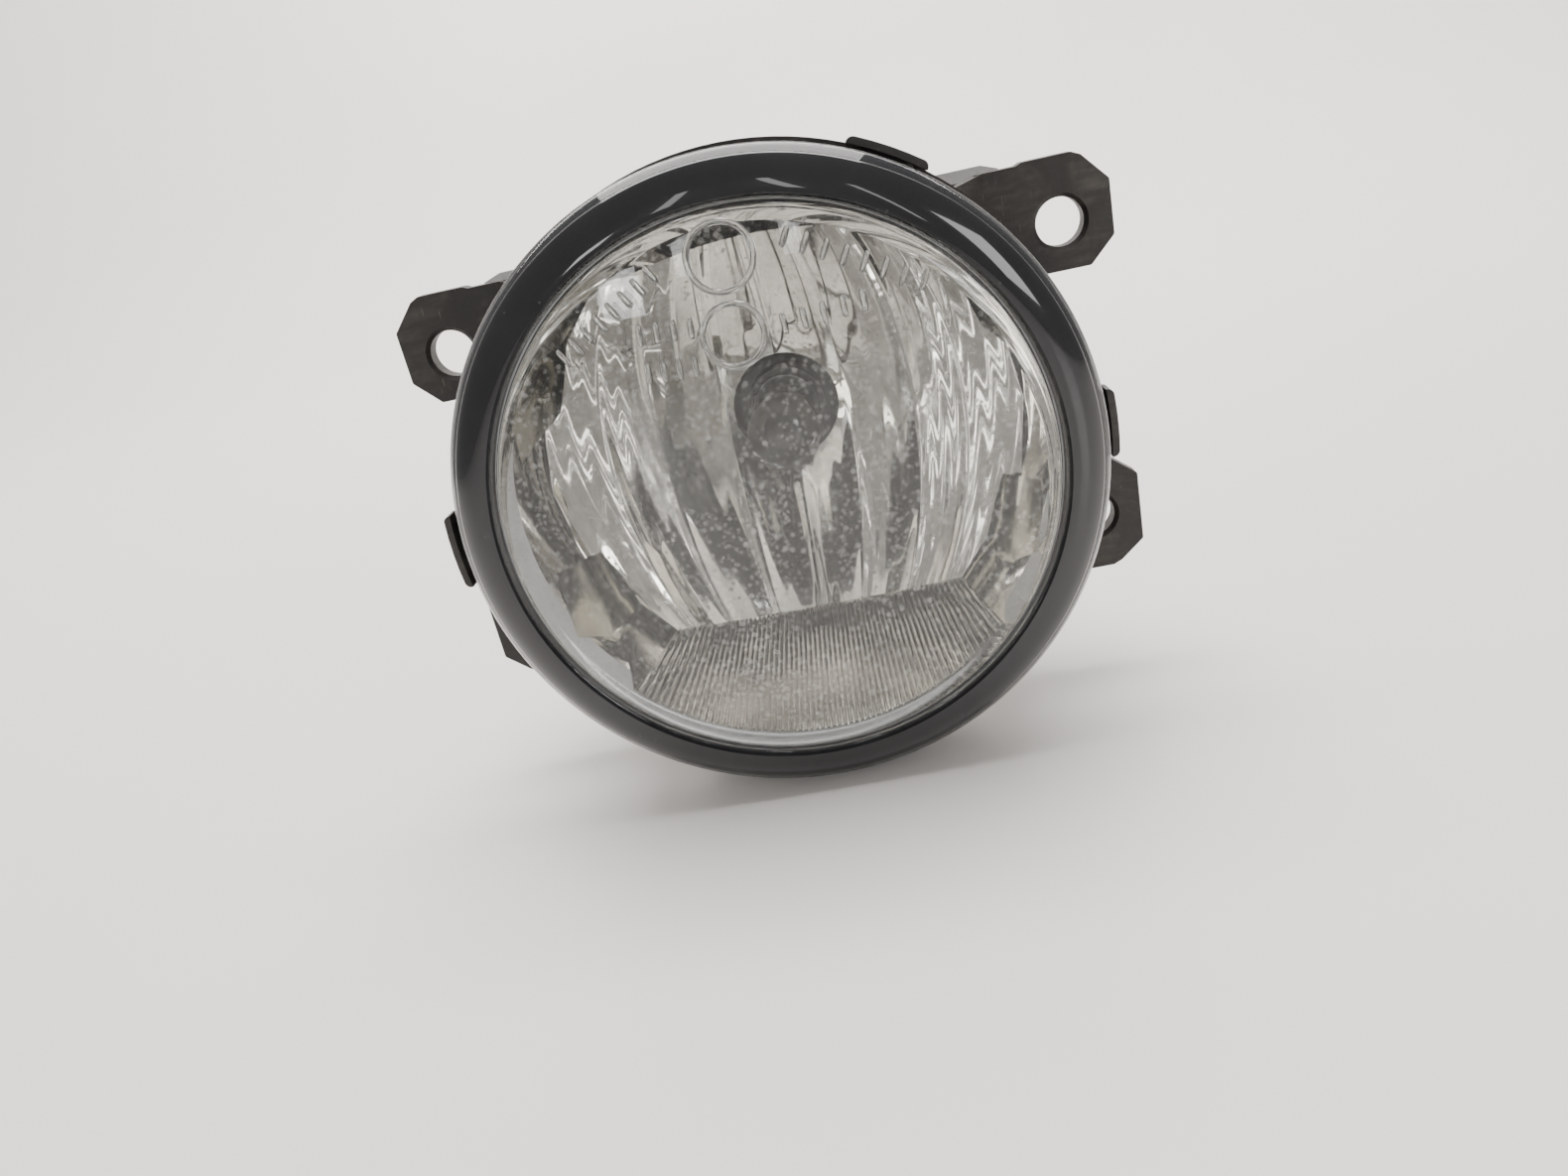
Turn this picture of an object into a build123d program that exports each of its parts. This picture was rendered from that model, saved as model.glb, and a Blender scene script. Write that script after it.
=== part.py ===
from build123d import *
import math
import os

# Round fog lamp with a tilting optical unit in a four-eared mounting frame.
# X is to the right seen from the front, the lamp faces -Y, and Z is up.
# The origin is the centre of the front circle of the lens rim, on the optical axis.
# Sizes are in millimetres.

# --- driving dimensions -------------------------------------------------------------
RIM_R = 45.0            # outer radius of the glass rim
RIM_DEPTH = 2.5         # the rim's back face, where it is bonded
DOME_FRONT = -6.0       # front of the clear dome
GLASS_T = 3.0           # glass thickness
MASK_IN = 38.75         # black ring behind the band of the glass
MASK_OUT = 44.1

FOCAL = 12.0            # focal length of the reflector
VERTEX = 58.0           # depth of the reflector's vertex
REFLECTOR_R = 39.1      # outside of the reflector's straight front part
REFLECTOR_T = 2.1       # its wall, measured along the optical axis
CAVITY_R = 38.2         # inside of the reflector's straight front part
BULB_HOLE_R = 9.6       # hole for the bulb in the reflector

FLANGE_R = 44.0         # front flange of the lamp body, inside the glass rim
FLANGE_FRONT = 3.0
FLANGE_BACK = 6.0
BODY_R = 41.6           # lamp body behind the flange
BODY_VERTEX = 62.9      # vertex of the body's outside
BODY_BORE_VERTEX = 60.7
NECK_R = 15.0
NECK_BACK = 73.0
NECK_BORE_R = 10.6

PIVOT_Y = 6.5           # depth of the tilt axis
PIN_R = 2.0             # trunnion pins
RUN_GAP = 0.05          # radial clearance of a running fit
HOOP_IN = 43.4          # mounting hoop
HOOP_OUT = 45.6
HOOP_FRONT = 9.5
HOOP_BACK = 17.5
SADDLE_BACK = 29.5

LOOP_T = 0.95           # wall of a loop
LOOP_FRONT = 3.0
LOOP_LEG_FRONT = 5.4    # its legs start behind the travel of the glass rim
LOOP_LEG_IN = 44.6
LOOP_FOOT = 3.2         # half the width where a loop meets the hoop
GUIDE_ANGLE = 29.3      # guide loop, clockwise from the top seen from the front
GUIDE_OUT = 46.5        # outside of the guide loop
RIGHT_OUT = 47.0        # outsides of the two pivot loops
LEFT_OUT = 48.0

EAR_X = 54.1            # outer flat of an ear
EAR_FOLD = 36.3         # where an ear's plate folds into its arm
EAR_HOLE_X = 46.6
EAR_HOLE_R = 3.5
EAR_FRONT = 24.5
EAR_T = 2.6
# heights above the axis, and below it for the lower pair: hole, inner edge, outer flat, outer edge
UPPER_EAR = (25.0, 18.1, 21.8, 29.6, 34.2)
LOWER_EAR = (20.8, 12.0, 15.0, 26.1, 29.8)

SCREW_Z = -38.5         # aim adjuster, under the bowl
SCREW_R = 2.0
NUT_Y = 45.0
NUT_R = 3.6
FORK_GAP = 0.3          # clearance of the fork on the round nut
FORK_T = 2.0
BEARING_FRONT = 58.0
BEARING_T = 3.0
KEEL_TOP = -44.0        # flat keel under the hoop that carries the adjuster
KEEL_T = 2.0
KEEL_HALF = 12.0

RIB_T = 1.4             # ribs on the bulb neck
VENT_X = -26.0          # breather on the back of the bowl
VENT_Z = 15.0
VENT_BACK = 56.0

CAPSULE_R = 5.9         # bulb capsule
CAPSULE_TIP = 32.8
CAPSULE_NECK = 57.5
FILAMENT_Y = 46.0
BASE_FRONT = 62.6       # front of the bulb's plastic base
SEAL_Y = 65.0
LUG_R = 12.5
LUG_HALF = 2.5
LUG_FRONT = 67.4
LUG_BACK = 70.2
LUG_ANGLES = (90, 210, 330)
UNLOCK = 40             # degrees from locked to free
CAP_R = 14.0
SOCKET_BACK = 92.0
SOCKET_MOUTH = -22.0


# --- helpers ------------------------------------------------------------------------
def turned(*edges):
    """Solid of revolution about the optical axis; edges are drawn as (radius, depth)."""
    return revolve(make_face(Wire(edges)), Axis.Y)


def turned_outline(*points):
    """Solid of revolution from the corner points of its (radius, depth) outline."""
    return revolve(make_face(Polyline(*points, close=True)), Axis.Y)


def tube(inner, outer, front, back):
    """Ring about the optical axis."""
    return turned_outline((inner, front), (outer, front), (outer, back), (inner, back))


def disc(radius, front, back, x=0.0, z=0.0):
    """Cylinder along Y."""
    length = back - front
    shape = Cylinder(radius, length, rotation=(90, 0, 0))
    return Pos(x, front + length / 2, z) * shape


def block(x, y, z):
    """Box between the given (low, high) pairs."""
    size = Box(x[1] - x[0], y[1] - y[0], z[1] - z[0])
    return Pos((x[0] + x[1]) / 2, (y[0] + y[1]) / 2, (z[0] + z[1]) / 2) * size


def plate(points, front, back):
    """Flat plate of the given XZ outline between two depths."""
    face = make_face(Polyline(*[(x, front, z) for x, z in points], close=True))
    return extrude(face, back - front, dir=(0, 1, 0))


def spin(shape, degrees):
    """Turn a shape clockwise about the optical axis, seen from the front."""
    return shape.rotate(Axis.Y, degrees)


def sector(centre, half, radius, front, back):
    """Wedge about the optical axis; angles clockwise from the top, seen from the front."""
    points = [(0.0, 0.0)]
    for step in range(5):
        angle = math.radians(centre + half * (step / 2 - 1))
        points.append((radius * math.sin(angle), radius * math.cos(angle)))
    return plate(points, front, back)


def bowl(vertex, inner, outer):
    """Parabola of the reflector's focal length, as an edge from radius inner to outer."""
    def depth(a, b):
        return vertex - a * b / (4 * FOCAL)
    middle = (inner + outer) / 2
    return Bezier((inner, depth(inner, inner)), (middle, depth(inner, outer)), (outer, depth(outer, outer)))


def bowl_depth(vertex, radius):
    return vertex - radius ** 2 / (4 * FOCAL)


def cap_arc(tip, radius, rise):
    """Arc of a sphere centred on the axis, from the tip out to the given radius."""
    ball = (radius ** 2 + rise ** 2) / (2 * rise)
    middle = math.copysign(abs(ball) - math.sqrt(ball ** 2 - radius ** 2 / 4), rise)
    return ThreePointArc((0, tip), (radius / 2, tip + middle), (radius, tip + rise))


def rod(start, end, radius):
    """Round wire from one point to another, with rounded ends."""
    path = Line(start, end)
    wire = sweep(Plane(origin=start, z_dir=path % 0) * Circle(radius), path)
    return wire + Pos(*start) * Sphere(radius) + Pos(*end) * Sphere(radius)


def save(node, shape):
    shape.label = node
    export_step(shape, f"parts/{node}.step")


# --- optical unit -------------------------------------------------------------------
def lens():
    """Clear glass: domed centre, a small groove, and a convex band out to the rim."""
    rise = 2.7
    dome_r = 37.2
    inner_tip = DOME_FRONT + GLASS_T
    inner_edge = (38.0, inner_tip + rise)
    dome_edge = (dome_r, DOME_FRONT + rise)
    groove_in = (37.8, -2.5)
    groove_out = (38.9, -2.5)
    band_in = (39.3, -3.1)
    glass = turned(
        cap_arc(DOME_FRONT, dome_r, rise),
        Line(dome_edge, groove_in),
        Line(groove_in, groove_out),
        Line(groove_out, band_in),
        ThreePointArc(band_in, (42.8, -2.1), (RIM_R, 0)),
        Line((RIM_R, 0), (RIM_R, RIM_DEPTH)),
        Line((RIM_R, RIM_DEPTH), (38.4, RIM_DEPTH)),
        Line((38.4, RIM_DEPTH), inner_edge),
        cap_arc(inner_tip, inner_edge[0], rise),
        Line((0, inner_tip), (0, DOME_FRONT)),
    )
    return glass - lens_mask_ring()


def lens_mask_ring():
    """Black ring fused into the back of the glass band, down to the flange."""
    inner_top = (MASK_IN, -1.9)
    bend = (39.3, -2.5)
    outer_top = (MASK_OUT, 0.2)
    return turned(
        Line(inner_top, bend),
        ThreePointArc(bend, (42.4, -1.5), outer_top),
        Line(outer_top, (MASK_OUT, FLANGE_FRONT)),
        Line((MASK_OUT, FLANGE_FRONT), (MASK_IN, FLANGE_FRONT)),
        Line((MASK_IN, FLANGE_FRONT), inner_top),
    )


def lens_seal():
    """Adhesive bead in the flange's channel."""
    return tube(40.8, 43.4, FLANGE_FRONT, FLANGE_FRONT + 0.9)


def trunnion(side):
    """Boss and pivot pin on one side of the flange."""
    boss = block((40.5, 44.1), (FLANGE_FRONT, 8.9), (-3.4, 3.4))
    tip = (RIGHT_OUT if side > 0 else LEFT_OUT) - 0.1
    length = tip - 43.5
    pin = Pos(tip - length / 2, PIVOT_Y, 0) * Cylinder(PIN_R, length, rotation=(0, 90, 0))
    return spin(boss + pin, 0 if side > 0 else 180)


def guide_tongue():
    """Raised tongue under the guide loop."""
    front, back = FLANGE_FRONT + 0.3, FLANGE_BACK
    ring = tube(FLANGE_R - 0.6, FLANGE_R + 0.4, front, back)
    return ring & sector(GUIDE_ANGLE, 3.6, 60, front, back)


def adjuster_fork():
    """Two slotted plates under the bowl that hold the round nut between them."""
    fork = None
    for side in (-1, 1):
        near = NUT_Y + side * (NUT_R + FORK_GAP)
        far = near + side * FORK_T
        front, back = min(near, far), max(near, far)
        top = -bowl_radius(BODY_VERTEX, back) + 2.5
        wall = block((-6.0, 6.0), (front, back), (-41.0, top))
        wall -= block((-2.6, 2.6), (front - 1, back + 1), (-42.0, -33.0))
        fork = wall if fork is None else fork + wall
    return fork


def bowl_radius(vertex, depth):
    return math.sqrt(4 * FOCAL * (vertex - depth))


def neck_cavity():
    """Bore, bayonet groove and entry slots for the bulb."""
    groove_front, groove_back = LUG_FRONT - 0.4, LUG_BACK + 0.4
    cavity = disc(NECK_BORE_R, 50, groove_back) + disc(NECK_BORE_R + 0.3, groove_back, NECK_BACK + 1)
    travel = 12.5 + 2.5
    ring = tube(NECK_BORE_R - 1, LUG_R + 0.4, groove_front, groove_back)
    for angle in LUG_ANGLES:
        clock = 90 - angle
        swept = sector(clock + UNLOCK / 2, UNLOCK / 2 + travel, 20, groove_front, groove_back)
        cavity += ring & swept
        slot = block((-LUG_HALF - 0.5, LUG_HALF + 0.5), (groove_front, NECK_BACK + 1), (8, LUG_R + 0.4))
        cavity += spin(slot, clock + UNLOCK)
    return cavity


def vent_disc(radius, front, back):
    return disc(radius, front, back, x=VENT_X, z=VENT_Z)


def neck_ribs():
    """Thin radial ribs between the bowl and its neck."""
    ribs = None
    for angle in range(0, 360, 60):
        corners = [(12.0, 71.0), (15.8, 71.0), (31.0, 44.5), (31.0, 41.5), (12.0, 52.0)]
        outline = make_face(Polyline(*corners, close=True))
        rib = extrude(outline, RIB_T / 2, both=True)
        rib = spin(rib, angle)
        ribs = rib if ribs is None else ribs + rib
    return ribs


def lamp_body():
    """Black bowl behind the reflector: flange, bulb neck, pivots, guide tongue and fork."""
    neck_meet = (NECK_R, bowl_depth(BODY_VERTEX, NECK_R))
    shoulder = (BODY_R, bowl_depth(BODY_VERTEX, BODY_R))
    flange_foot = (BODY_R, FLANGE_BACK + 1.2)
    outside = turned(
        Line((0, FLANGE_FRONT), (FLANGE_R, FLANGE_FRONT)),
        Line((FLANGE_R, FLANGE_FRONT), (FLANGE_R, FLANGE_BACK)),
        Line((FLANGE_R, FLANGE_BACK), flange_foot),
        Line(flange_foot, shoulder),
        bowl(BODY_VERTEX, BODY_R, NECK_R),
        Line(neck_meet, (NECK_R, NECK_BACK)),
        Line((NECK_R, NECK_BACK), (0, NECK_BACK)),
        Line((0, NECK_BACK), (0, FLANGE_FRONT)),
    )
    bore_r = REFLECTOR_R + 0.2
    shell_start = (bore_r, bowl_depth(BODY_BORE_VERTEX, bore_r))
    inside = turned(
        Line((0, 0), (bore_r, 0)),
        Line((bore_r, 0), shell_start),
        bowl(BODY_BORE_VERTEX, bore_r, NECK_BORE_R),
        Line((NECK_BORE_R, bowl_depth(BODY_BORE_VERTEX, NECK_BORE_R)), (0, BODY_BORE_VERTEX)),
        Line((0, BODY_BORE_VERTEX), (0, 0)),
    )
    body = outside + vent_disc(5.0, 37, VENT_BACK) + neck_ribs() + adjuster_fork()
    body += trunnion(1) + trunnion(-1) + guide_tongue()
    body -= inside
    body -= neck_cavity()
    body -= lens_seal()
    body -= vent_disc(1.6, 30, VENT_BACK + 1)
    return body


def tunnel_outline(depth, half, sag, side, side_height):
    """Eight-sided outline of the reflector's opening: arched top and bottom, cut corners."""
    low = [(-half, -sag[1]), (0, -sag[0]), (half, -sag[1])]
    corner = [(-side, -side_height), (side, -side_height)]

    def at(point, sign=1):
        return (point[0], depth, sign * point[1])
    edges = [
        ThreePointArc(at(low[0]), at(low[1]), at(low[2])),
        Line(at(low[2]), at(corner[1])),
        Line(at(corner[1]), at(corner[1], -1)),
        Line(at(corner[1], -1), at(low[2], -1)),
        ThreePointArc(at(low[2], -1), at(low[1], -1), at(low[0], -1)),
        Line(at(low[0], -1), at(corner[0], -1)),
        Line(at(corner[0], -1), at(corner[0])),
        Line(at(corner[0]), at(low[0])),
    ]
    return make_face(Wire(edges))


def reflector():
    """Metallised bowl whose mirror is cut by an arched shelf below and above."""
    outer_start = (REFLECTOR_R, bowl_depth(VERTEX + REFLECTOR_T, REFLECTOR_R))
    outer_vertex = VERTEX + REFLECTOR_T
    outside = turned(
        Line((0, FLANGE_FRONT), (REFLECTOR_R, FLANGE_FRONT)),
        Line((REFLECTOR_R, FLANGE_FRONT), outer_start),
        bowl(outer_vertex, REFLECTOR_R, BULB_HOLE_R),
        Line((BULB_HOLE_R, bowl_depth(outer_vertex, BULB_HOLE_R)), (0, outer_vertex)),
        Line((0, outer_vertex), (0, FLANGE_FRONT)),
    )
    mirror_edge = (CAVITY_R, bowl_depth(VERTEX, CAVITY_R))
    mirror = turned(
        Line((0, 0), (CAVITY_R, 0)),
        Line((CAVITY_R, 0), mirror_edge),
        bowl(VERTEX, CAVITY_R, BULB_HOLE_R),
        Line((BULB_HOLE_R, bowl_depth(VERTEX, BULB_HOLE_R)), (0, VERTEX)),
        Line((0, VERTEX), (0, 0)),
    )
    front = tunnel_outline(1.0, 28.5, (39.0, 25.8), 38.5, 12.0)
    rear = tunnel_outline(59.0, 24.0, (28.0, 27.0), 38.5, 14.0)
    cavity = mirror & loft([front, rear], ruled=True)
    return outside - cavity - disc(BULB_HOLE_R, 50, 62)


def vent_membrane():
    return vent_disc(3.2, VENT_BACK, VENT_BACK + 0.3)


def vent_cap():
    """Press-on breather cap with side notches."""
    cap = vent_disc(6.2, VENT_BACK - 3, VENT_BACK + 2.5) - vent_disc(5.0, VENT_BACK - 4, VENT_BACK)
    cap -= vent_disc(4.4, VENT_BACK - 1, VENT_BACK + 1.2)
    for angle in range(0, 360, 90):
        notch = Rot(0, angle, 0) * Pos(5, 0, 0) * Box(4, 1.2, 1.6)
        cap -= Pos(VENT_X, VENT_BACK + 0.6, VENT_Z) * notch
    return cap


# --- bulb ---------------------------------------------------------------------------
def capsule_envelope(radius, tip, neck):
    """Round-nosed capsule from its tip to its neck, with domed ends."""
    rise = radius / 2
    return turned(
        cap_arc(tip, radius, rise),
        Line((radius, tip + rise), (radius, neck - rise)),
        cap_arc(neck, radius, -rise),
        Line((0, neck), (0, tip)),
    )


def bulb_foils():
    """Two sealing foils inside the pinch."""
    foils = None
    for side in (-1, 1):
        foil = block((side * 2 - 1, side * 2 + 1), (58.0, 62.0), (-0.1, 0.1))
        foils = foil if foils is None else foils + foil
    return foils


def bulb_glass():
    """Quartz capsule with a flat pinch; hollow around the filament."""
    glass = capsule_envelope(CAPSULE_R, CAPSULE_TIP, CAPSULE_NECK)
    glass += block((-4.6, 4.6), (CAPSULE_NECK - 2.5, 64.0), (-1.6, 1.6))
    glass -= capsule_envelope(CAPSULE_R - 1.1, CAPSULE_TIP + 1.2, CAPSULE_NECK - 1.2)
    glass -= bulb_foils()
    glass -= filament_supports()
    glass -= bulb_leads()
    return glass


def bulb_tip_coating():
    """Opaque black cap over the front of the capsule."""
    thickness = 0.2
    cap = capsule_envelope(CAPSULE_R + thickness, CAPSULE_TIP - thickness, CAPSULE_NECK)
    cap &= disc(10, 30, 39.0)
    return cap - capsule_envelope(CAPSULE_R, CAPSULE_TIP, CAPSULE_NECK)


def filament():
    """Tungsten coil on the optical axis, as its tube-shaped envelope."""
    return tube(0.35, 0.75, FILAMENT_Y - 2.6, FILAMENT_Y + 2.6)


def filament_supports():
    """Two wires from the foils to the ends of the coil."""
    front_end = FILAMENT_Y - 2.6
    back_end = FILAMENT_Y + 2.6
    wires = rod((-2.0, 58.0, 0), (-2.0, back_end + 2.0, 0), 0.25)
    wires += rod((-2.0, back_end + 2.0, 0), (-0.55, back_end + 0.25, 0), 0.25)
    wires += rod((2.0, 58.0, 0), (2.4, front_end - 1.5, 0), 0.25)
    wires += rod((2.4, front_end - 1.5, 0), (0.55, front_end - 0.25, 0), 0.25)
    return wires - bulb_foils() - filament()


def bulb_clip_ring():
    """Metal sleeve that clamps the capsule on the base."""
    sleeve = tube(6.3, 6.9, 56.5, BASE_FRONT)
    foot = tube(6.3, 8.8, BASE_FRONT - 0.6, BASE_FRONT)
    bridge = block((-6.6, 6.6), (59.0, 61.0), (-2.4, 2.4)) & disc(6.6, 50, 70)
    bridge -= block((-4.6, 4.6), (50, 70), (-1.6, 1.6))
    return sleeve + foot + bridge


def bulb_o_ring():
    groove_bottom = 8.6
    outside = NECK_BORE_R - RUN_GAP
    minor = (outside - groove_bottom) / 2
    return Pos(0, SEAL_Y, 0) * Torus(groove_bottom + minor, minor, rotation=(90, 0, 0))


def bulb_lugs():
    lugs = None
    for angle in LUG_ANGLES:
        lug = block((-LUG_HALF, LUG_HALF), (LUG_FRONT, LUG_BACK), (8, LUG_R + 2))
        lug = spin(lug, 90 - angle) & disc(LUG_R, LUG_FRONT, LUG_BACK)
        lugs = lug if lugs is None else lugs + lug
    return lugs


def bulb_terminals():
    """Two contact blades in the plug socket."""
    blades = None
    for side in (-1, 1):
        x = side * 3.4
        blade = block((x - 1.4, x + 1.4), (84.0, 84.8), (-17.0, -4.0))
        blades = blade if blades is None else blades + blade
    return blades


def bulb_leads():
    """Wires from the foils to the contact blades."""
    wires = None
    for side in (-1, 1):
        wire = rod((side * 2.0, 62.0, 0), (side * 3.4, 84.4, 0), 0.3)
        wire += rod((side * 3.4, 84.4, 0), (side * 3.4, 84.4, -4.3), 0.3)
        wires = wire if wires is None else wires + wire
    return wires - bulb_foils() - bulb_terminals()


def bulb_base():
    """Plastic base: sealed plug, bayonet lugs, round cap and right-angle plug socket."""
    plug = disc(10.2, BASE_FRONT, 76.0)
    plug -= tube(8.6, 12.0, SEAL_Y - 1.0, SEAL_Y + 1.0)
    cap = disc(CAP_R, NECK_BACK + 0.3, 76.5)
    hood = block((-10.5, 10.5), (76.0, SOCKET_BACK), (SOCKET_MOUTH, 9.0))
    hood = fillet(hood.edges().filter_by(Axis.Z), 3.0)
    hood = fillet(hood.faces().sort_by(Axis.Z)[-1].edges().sort_by(Axis.Y)[-1], 4.0)
    grips = None
    for side in (-1, 1):
        grip = block((side * 12.2 - 2.2, side * 12.2 + 2.2), (76.0, 84.0), (-5.0, 6.0))
        grips = grip if grips is None else grips + grip
    latch = block((-3.5, 3.5), (SOCKET_BACK - 0.5, SOCKET_BACK + 2.0), (-14.0, -9.0))
    rib = block((-10.5, 10.5), (75.9, SOCKET_BACK), (-2.0, 0.0))
    base = plug + cap + hood + bulb_lugs() + grips + latch + rib
    base -= block((-8.4, 8.4), (78.6, 89.6), (SOCKET_MOUTH - 1, -7.0))
    base -= block((-4.6, 4.6), (BASE_FRONT - 1, 64.0), (-1.6, 1.6))
    base -= bulb_leads()
    base -= bulb_terminals()
    return base


# --- mounting frame -----------------------------------------------------------------
def loop(clock, half, out, hole=False):
    """Curved strap in front of the hoop; angles clockwise from the top, seen from the front."""
    wide = sector(0, half, 60, LOOP_FRONT, HOOP_FRONT + 2)
    arch = tube(out - LOOP_T, out, LOOP_FRONT, HOOP_FRONT + 2) & wide
    legs = tube(LOOP_LEG_IN, out, LOOP_LEG_FRONT, HOOP_FRONT + 2) & wide
    gap = sector(0, half - 1.8, 60, LOOP_FRONT, HOOP_FRONT)
    solid = arch + (legs - (gap & disc(out - LOOP_T, LOOP_FRONT, HOOP_FRONT)))
    outer_corners = [edge for edge in solid.edges().filter_by(Axis.Y) if edge_radius(edge) > out - 0.1]
    solid = fillet(outer_corners, 0.9)
    reach = out * math.sin(math.radians(half)) + 1
    taper = make_face(Polyline(
        (-reach, LOOP_FRONT), (reach, LOOP_FRONT), (reach, 4.2), (LOOP_FOOT, HOOP_FRONT),
        (LOOP_FOOT, 12), (-LOOP_FOOT, 12), (-LOOP_FOOT, HOOP_FRONT), (-reach, 4.2), close=True))
    solid &= extrude(taper, 60)
    if hole:
        solid -= Pos(0, PIVOT_Y, 46.5) * Cylinder(PIN_R + RUN_GAP, 6)
    return spin(solid, clock)


def edge_radius(edge):
    middle = edge.center()
    return math.hypot(middle.X, middle.Z)


def ear_tab(hole, inner, flat_in, flat_out, outer):
    """Chamfered tab with its hole, on the right and above the axis."""
    outline = [
        (EAR_X, flat_in),
        (EAR_X, flat_out),
        (EAR_X - 3.7, outer - 0.6),
        (EAR_X - 5.0, outer),
        (42.0, outer),
        (41.2, outer - 0.35),
        (EAR_FOLD - 1.0, outer - 0.35),
        (EAR_FOLD - 1.0, inner),
        (EAR_X - 3.7, inner),
    ]
    back = EAR_FRONT + EAR_T
    tab = plate(outline, EAR_FRONT, back)
    corners = [edge for edge in tab.edges().filter_by(Axis.Y) if edge.center().X > 49]
    tab = fillet(corners, 0.5)
    tab += disc(EAR_HOLE_R + 1.8, back, back + 1.2, x=EAR_HOLE_X, z=hole)
    return tab


def ear_arm(inner, outer):
    """Arm from the tab forward to the hoop, with a sloping rib along its outer edge."""
    low, high = inner + 1.0, outer - 0.35
    face = make_face(Polyline(
        (EAR_FOLD, EAR_FRONT), (30.5, HOOP_BACK), (30.5, HOOP_BACK + EAR_T + 1.5),
        (EAR_FOLD - 1.0, EAR_FRONT + EAR_T), (EAR_FOLD, EAR_FRONT + EAR_T), close=True))
    arm = Pos(0, 0, low) * extrude(face, high - low)
    drop = plate([(20, high - 2.6), (EAR_FOLD, high), (EAR_FOLD + 1, high + 2), (20, high + 2)], 0, 40)
    crest = high + 1.0
    wedge = make_face(Polyline(
        (28, EAR_FRONT + 0.6, high - 2.5), (28, EAR_FRONT + 0.6, high - 0.6),
        (28, EAR_FRONT + EAR_T + 0.6, crest), (28, EAR_FRONT + EAR_T + 1.4, crest),
        (28, EAR_FRONT + EAR_T + 1.4, high - 2.5), close=True))
    rib = extrude(wedge, 11.0, dir=(1, 0, 0))
    rib -= plate([(36.5, crest + 0.1), (39.5, high), (40, crest + 1)], 0, 40)
    return (arm - drop) + rib


def ear(heights):
    """One ear with its arm and the part of the hoop that carries it."""
    hole, inner, _, _, outer = heights
    low, high = inner - 2.0, outer - 1.0
    saddle = tube(HOOP_IN, HOOP_OUT, HOOP_FRONT, SADDLE_BACK) & block((20, 60), (0, 40), (low, high))
    low_rib = block((36.0, 40.5), (EAR_FRONT, SADDLE_BACK), (inner, inner + 1.8))
    solid = ear_tab(*heights) + ear_arm(inner, outer) + low_rib + saddle
    solid -= disc(HOOP_IN, 0, 60)
    solid -= disc(EAR_HOLE_R, 0, 60, x=EAR_HOLE_X, z=hole)
    rims = [edge for edge in solid.edges().filter_by(GeomType.CIRCLE) if abs(edge.radius - EAR_HOLE_R) < 0.01]
    return chamfer(rims, 0.6)


def keel():
    """Flat plate under the hoop with the adjuster's bearing at its back."""
    back = BEARING_FRONT + BEARING_T
    bottom = KEEL_TOP - KEEL_T
    plate_part = block((-KEEL_HALF, KEEL_HALF), (HOOP_FRONT, HOOP_BACK + 8), (bottom, KEEL_TOP))
    plate_part += block((-8.0, 8.0), (HOOP_FRONT, back), (bottom, KEEL_TOP))
    plate_part += block((-6.5, 6.5), (BEARING_FRONT, back), (bottom, SCREW_Z + 5.0))
    for side in (-1, 1):
        web = block((side * 7.25 - 0.75, side * 7.25 + 0.75), (HOOP_BACK - 1, back), (bottom, -42.6))
        plate_part += web
    plate_part -= block((-1.5, 1.5), (NUT_Y - 6.5, NUT_Y + 6.5), (KEEL_TOP - 1.2, KEEL_TOP + 1))
    plate_part -= disc(SCREW_R + RUN_GAP, BEARING_FRONT - 1, back + 1, z=SCREW_Z)
    return plate_part


def mounting_frame():
    """Hoop with three loops, four ears and the keel."""
    frame = tube(HOOP_IN, HOOP_OUT, HOOP_FRONT, HOOP_BACK)
    upper = ear(UPPER_EAR)
    lower = ear(LOWER_EAR).mirror(Plane.XY)
    for corner in (upper, lower):
        frame += corner
        frame += corner.mirror(Plane.YZ)
    frame += keel()
    frame += loop(GUIDE_ANGLE, 6.8, GUIDE_OUT)
    frame += loop(90, 5.9, RIGHT_OUT, hole=True)
    frame += loop(-90, 6.7, LEFT_OUT, hole=True)
    return frame


# --- aim adjuster -------------------------------------------------------------------
def adjuster_screw():
    """Headed screw, held lengthwise in the keel's bearing."""
    back = BEARING_FRONT + BEARING_T
    screw = disc(SCREW_R, NUT_Y - 4.0, back + 0.4, z=SCREW_Z)
    collar = disc(3.8, back + 0.3, back + 1.3, z=SCREW_Z)
    hexagon = RegularPolygon(3.5, 6, major_radius=False)
    head = Pos(0, back + 5.3, SCREW_Z) * (Rot(90, 0, 0) * extrude(hexagon, 4.0))
    socket = disc(1.4, back + 2.8, back + 6, z=SCREW_Z)
    return screw + collar + head - socket


def adjuster_clip():
    """Push-on clip that keeps the screw in its bearing."""
    front = BEARING_FRONT - 1.0
    ring = disc(3.8, front, front + 0.7, z=SCREW_Z) - disc(SCREW_R, front - 1, front + 2, z=SCREW_Z)
    for step in range(3):
        notch = Pos(0, front, SCREW_Z) * Rot(0, 120 * step, 0) * Pos(0, 0, 3.6) * Box(0.8, 4, 1.4)
        ring -= notch
    return ring


def adjuster_nut():
    """Round nut with a key that runs in the keel's groove."""
    nut = Pos(0, NUT_Y, SCREW_Z) * Sphere(NUT_R)
    nut += block((-1.2, 1.2), (NUT_Y - 1.5, NUT_Y + 1.5), (KEEL_TOP - 0.8, SCREW_Z - 2.5))
    return nut - disc(SCREW_R + RUN_GAP, NUT_Y - 10, NUT_Y + 10, z=SCREW_Z)


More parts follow.
